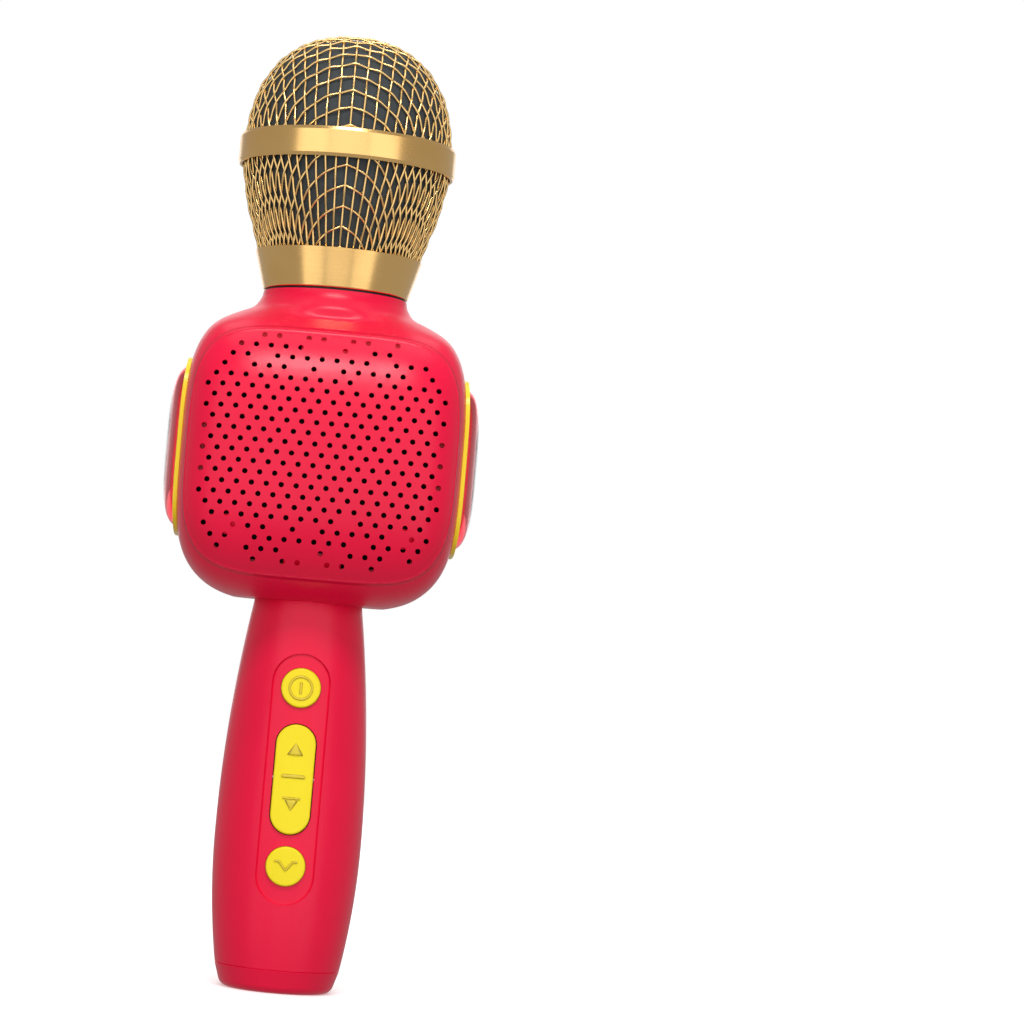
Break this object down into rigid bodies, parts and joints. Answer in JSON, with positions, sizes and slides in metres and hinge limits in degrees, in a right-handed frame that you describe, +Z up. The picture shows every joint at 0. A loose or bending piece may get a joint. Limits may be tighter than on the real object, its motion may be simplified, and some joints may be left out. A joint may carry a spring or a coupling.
{
  "type": "toy microphone",
  "caption": "Hand-held karaoke toy microphone with a woven wire head, a rounded-cube speaker body, side light windows and a round battery handle with buttons",
  "frame": {"origin": "middle of the flat base of the handle, at the bottom", "axes": "+Z runs up the handle to the top of the wire head, the front with the buttons faces -Y, and +X is to the right seen from the front"},
  "size_m": [0.0776, 0.0676, 0.2385],
  "materials": {
    "pink_plastic": "satin",
    "yellow_plastic": "satin",
    "yellow_bezel": "gloss",
    "yellow_diffuser": "satin",
    "clear_lens": "gloss",
    "gold_trim": "polished",
    "gold_wire": "gloss",
    "dark_foam": "matte",
    "dark_rubber": "matte",
    "black_plastic": "matte",
    "grey_plastic": "matte",
    "circuit_board": "satin",
    "chip_plastic": "matte",
    "lamp_plastic": "gloss",
    "speaker_steel": "satin",
    "speaker_paper": "matte",
    "screw_steel": "satin",
    "socket_steel": "satin",
    "battery_sleeve": "gloss",
    "contact_brass": "satin",
    "lead_insulation": "satin"
  },
  "bodies": {
    "casing": {"handle_front_shell": "pink_plastic", "handle_rear_shell": "pink_plastic", "bottom_cap": "pink_plastic", "body_front_shell": "pink_plastic", "body_rear_shell": "pink_plastic", "front_speaker_grille": "pink_plastic", "rear_speaker_grille": "pink_plastic", "left_light_bezel": "yellow_bezel", "right_light_bezel": "yellow_bezel", "left_light_diffuser": "yellow_diffuser", "right_light_diffuser": "yellow_diffuser", "left_dome_lens": "clear_lens", "right_dome_lens": "clear_lens", "left_clef": "pink_plastic", "right_clef": "pink_plastic", "left_light_board": "circuit_board", "right_light_board": "circuit_board", "left_lamps": "lamp_plastic", "right_lamps": "lamp_plastic", "head_mount_ring": "grey_plastic", "capsule_holder": "black_plastic", "capsule_boot": "dark_rubber", "mic_capsule": "socket_steel", "front_speaker_frame": "speaker_steel", "rear_speaker_frame": "speaker_steel", "front_speaker_cone": "speaker_paper", "rear_speaker_cone": "speaker_paper", "front_speaker_magnet": "speaker_steel", "rear_speaker_magnet": "speaker_steel", "main_board": "circuit_board", "board_components": "chip_plastic", "battery": "battery_sleeve", "battery_cradle": "black_plastic", "battery_contacts": "contact_brass", "key_board": "circuit_board", "key_switches": "chip_plastic", "volume_plungers": "grey_plastic", "rocker_pin": "screw_steel", "charging_socket": "socket_steel", "charge_board": "circuit_board", "body_screws": "screw_steel", "handle_screws": "screw_steel", "speaker_screws": "screw_steel", "battery_lead": "lead_insulation", "key_lead": "lead_insulation", "capsule_lead": "lead_insulation", "speaker_leads": "lead_insulation", "light_pins": "contact_brass"},
    "power_key": {"power_button": "yellow_plastic", "power_plunger": "grey_plastic"},
    "mode_key": {"mode_button": "yellow_plastic", "mode_plunger": "grey_plastic"},
    "volume_key": {"volume_rocker": "yellow_plastic"},
    "lift_ring": {"slip_washer": "grey_plastic"},
    "wire_head": {"collar_ring": "gold_trim", "lower_wire_basket": "gold_wire", "centre_band": "gold_trim", "upper_wire_dome": "gold_wire", "foam_windscreen": "dark_foam"}
  },
  "joints": [
    {"name": "power_press", "type": "slide", "parent": "casing", "child": "power_key", "axis": [0, 1, 0], "range_m": [0, 0.0006], "stiffness_N_per_m": 900, "springref_m": -0.0002},
    {"name": "mode_press", "type": "slide", "parent": "casing", "child": "mode_key", "axis": [0, 1, 0], "range_m": [0, 0.0006], "stiffness_N_per_m": 900, "springref_m": -0.0002},
    {"name": "volume_tilt", "type": "hinge", "parent": "casing", "child": "volume_key", "pos_m": [0, -0.01411, 0.0526], "axis": [-1, 0, 0], "range_deg": [-2, 2], "stiffness_Nm_per_rad": 0.15},
    {"name": "head_lift", "type": "slide", "parent": "casing", "child": "lift_ring", "axis": [0, 0, 1], "range_m": [0, 0.005]},
    {"name": "head_turn", "type": "hinge", "parent": "lift_ring", "child": "wire_head", "pos_m": [0, 0, 0.1735], "axis": [0, 0, 1], "range_deg": [0, 900]}
  ],
  "couplings": [
    {"joint": "head_lift", "follows": "head_turn", "m_per_rad": 0.00031831}
  ]
}
